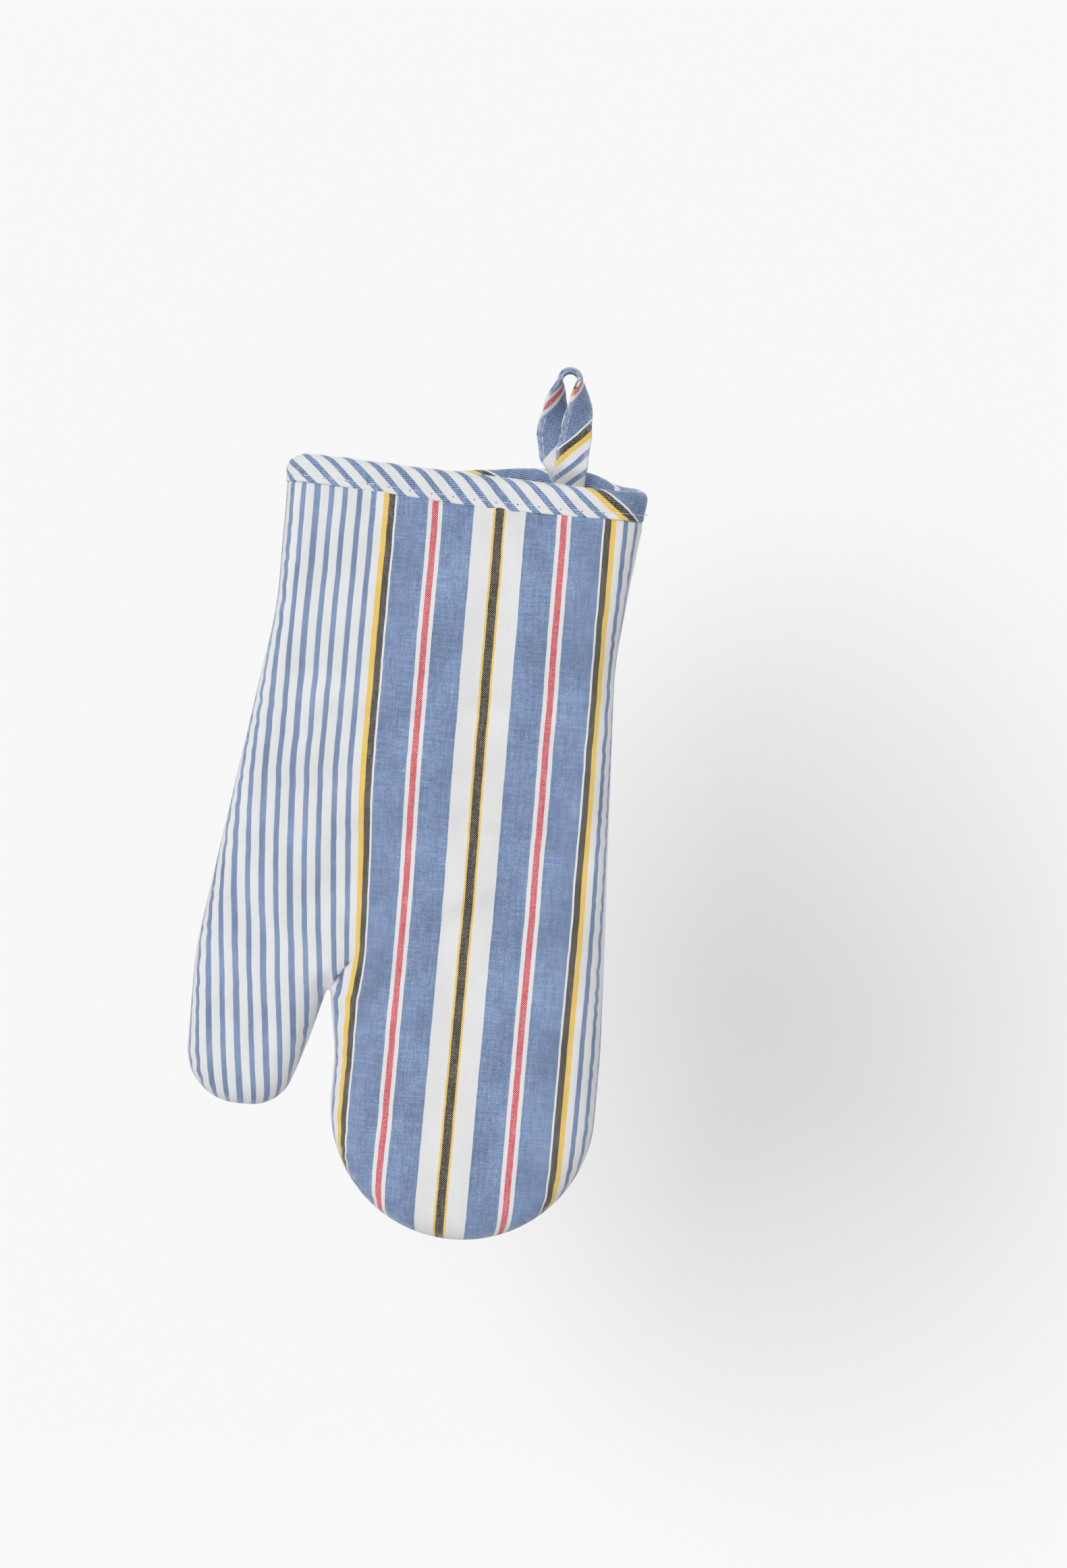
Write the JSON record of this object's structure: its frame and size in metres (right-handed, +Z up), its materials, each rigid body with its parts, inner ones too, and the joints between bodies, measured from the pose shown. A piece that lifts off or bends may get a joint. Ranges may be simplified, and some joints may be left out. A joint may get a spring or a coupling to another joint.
{
  "type": "oven mitt",
  "caption": "Padded oven mitt with one thumb, an open cuff edged with a folded bias binding, and a twisted hanging loop sewn near the cuff's corner.",
  "frame": {"origin": "the point inside the crown of the hanging loop that rests on its hook", "axes": "+Z up as the mitt hangs, from the finger tip to the loop; +X to the right across the front, away from the thumb; +Y from the front panel to the back panel, towards the wall"},
  "size_m": [0.1952, 0.029, 0.3694],
  "materials": {
    "outer_cloth": "yarn-dyed chambray with blue, white, red, black and yellow stripes",
    "binding_cloth": "the same cloth cut on the bias",
    "loop_cloth": "the same cloth folded into a narrow strip",
    "lining_cloth": "plain off-white cotton, a guess",
    "wadding": "white needled polyester wadding, a guess",
    "seam_thread": "polyester sewing thread",
    "stitch_thread": "polyester sewing thread"
  },
  "bodies": {
    "loop": {"hanging_loop": "loop_cloth", "loop_edge_stitching": "seam_thread"},
    "palm": {"outer_front_palm": "outer_cloth", "outer_back_palm": "outer_cloth", "wadding_front_palm": "wadding", "wadding_back_palm": "wadding", "lining_front_palm": "lining_cloth", "lining_back_palm": "lining_cloth", "side_seam_thread_palm": "seam_thread", "cuff_binding": "binding_cloth", "binding_stitching": "stitch_thread", "loop_tail": "loop_cloth", "loop_bartack": "seam_thread"},
    "fingers": {"outer_front_fingers": "outer_cloth", "outer_back_fingers": "outer_cloth", "wadding_front_fingers": "wadding", "wadding_back_fingers": "wadding", "lining_front_fingers": "lining_cloth", "lining_back_fingers": "lining_cloth", "side_seam_thread_fingers": "seam_thread"},
    "thumb": {"outer_front_thumb": "outer_cloth", "outer_back_thumb": "outer_cloth", "wadding_front_thumb": "wadding", "wadding_back_thumb": "wadding", "lining_front_thumb": "lining_cloth", "lining_back_thumb": "lining_cloth", "side_seam_thread_thumb": "seam_thread"}
  },
  "joints": [
    {"name": "loop_flex", "type": "hinge", "parent": "loop", "child": "palm", "pos_m": [-0.001, 0, -0.03765], "axis": [0.9925, 0, -0.1222], "range_deg": [-90, 90]},
    {"name": "finger_flex", "type": "hinge", "parent": "palm", "child": "fingers", "pos_m": [-0.04372, 0, -0.29052], "axis": [0.9963, 0, -0.0858], "range_deg": [-60, 60], "stiffness_Nm_per_rad": 0.02},
    {"name": "thumb_flex", "type": "hinge", "parent": "palm", "child": "thumb", "pos_m": [-0.13146, 0, -0.2657], "axis": [0.9672, 0, -0.2541], "range_deg": [-60, 60], "stiffness_Nm_per_rad": 0.01}
  ]
}
